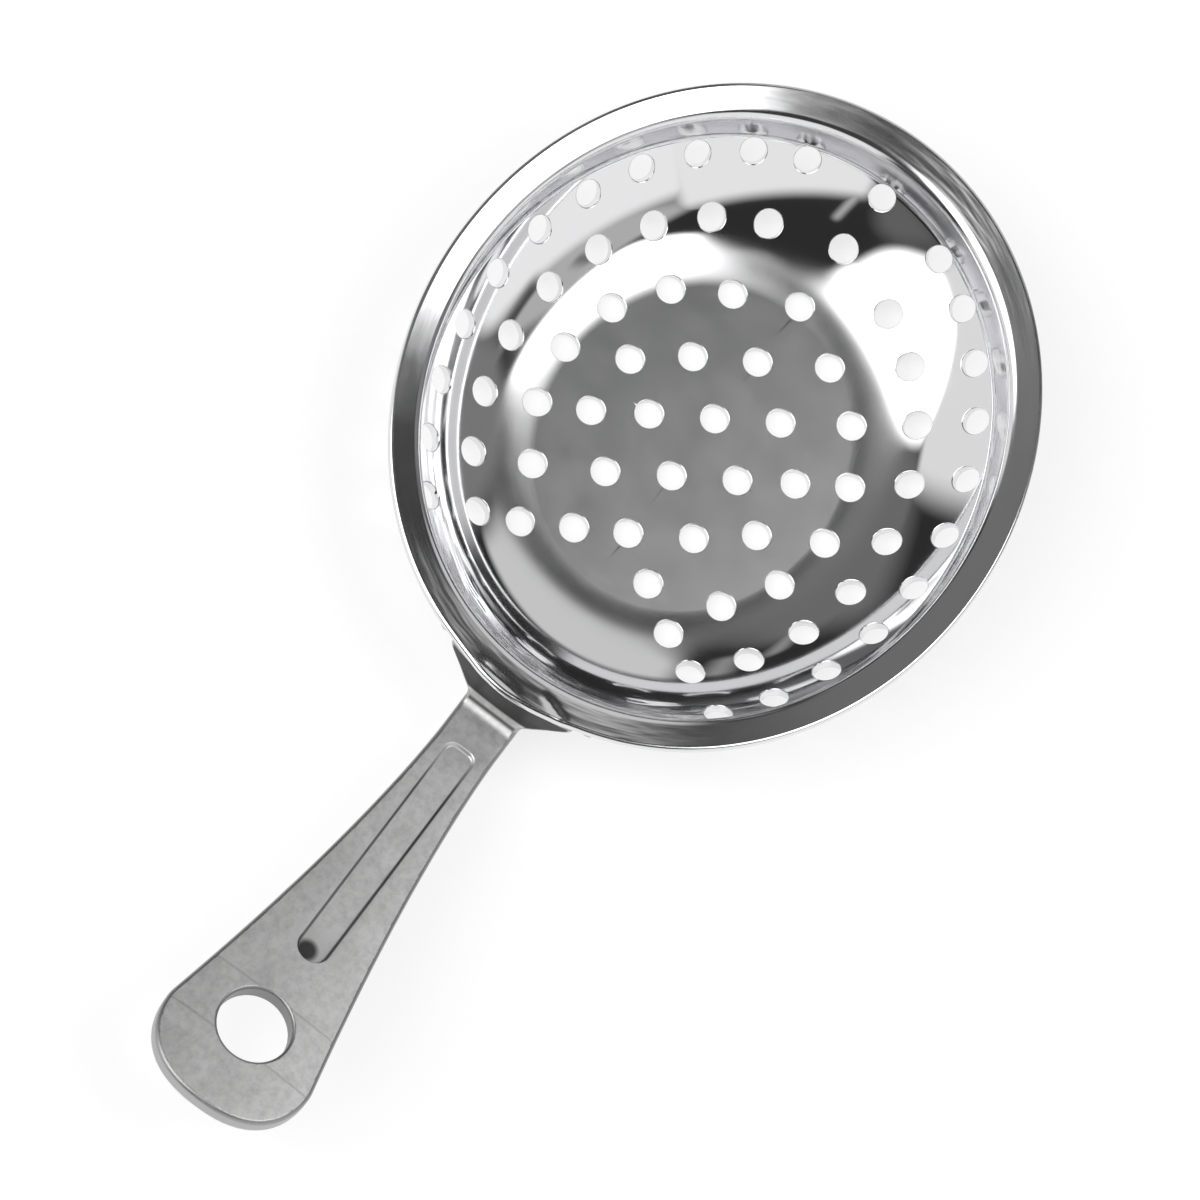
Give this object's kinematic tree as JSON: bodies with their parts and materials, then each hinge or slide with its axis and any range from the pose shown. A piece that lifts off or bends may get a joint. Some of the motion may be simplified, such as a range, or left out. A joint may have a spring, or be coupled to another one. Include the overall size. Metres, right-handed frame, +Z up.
{
  "type": "julep strainer",
  "caption": "Bar strainer: a shallow oval bowl of perforated sheet steel with a turned-out rim, welded to a stamped flat handle with a pressed groove and a hanging hole.",
  "frame": {"origin": "centre of the bowl's flat underside", "axes": "+Z up out of the bowl, +X from the handle towards the far rim, the object mirrors across the XZ plane"},
  "size_m": [0.1644, 0.0824, 0.0206],
  "materials": {
    "polished_steel": "mirror-polished stainless steel sheet",
    "satin_steel": "satin, tumbled stainless steel plate",
    "weld_steel": "bare weld metal, lightly cleaned"
  },
  "bodies": {
    "root": {"strainer_bowl": "polished_steel", "handle": "satin_steel", "root_weld_left": "weld_steel", "root_weld_right": "weld_steel", "tack_weld_left": "weld_steel", "tack_weld_right": "weld_steel"}
  },
  "joints": []
}
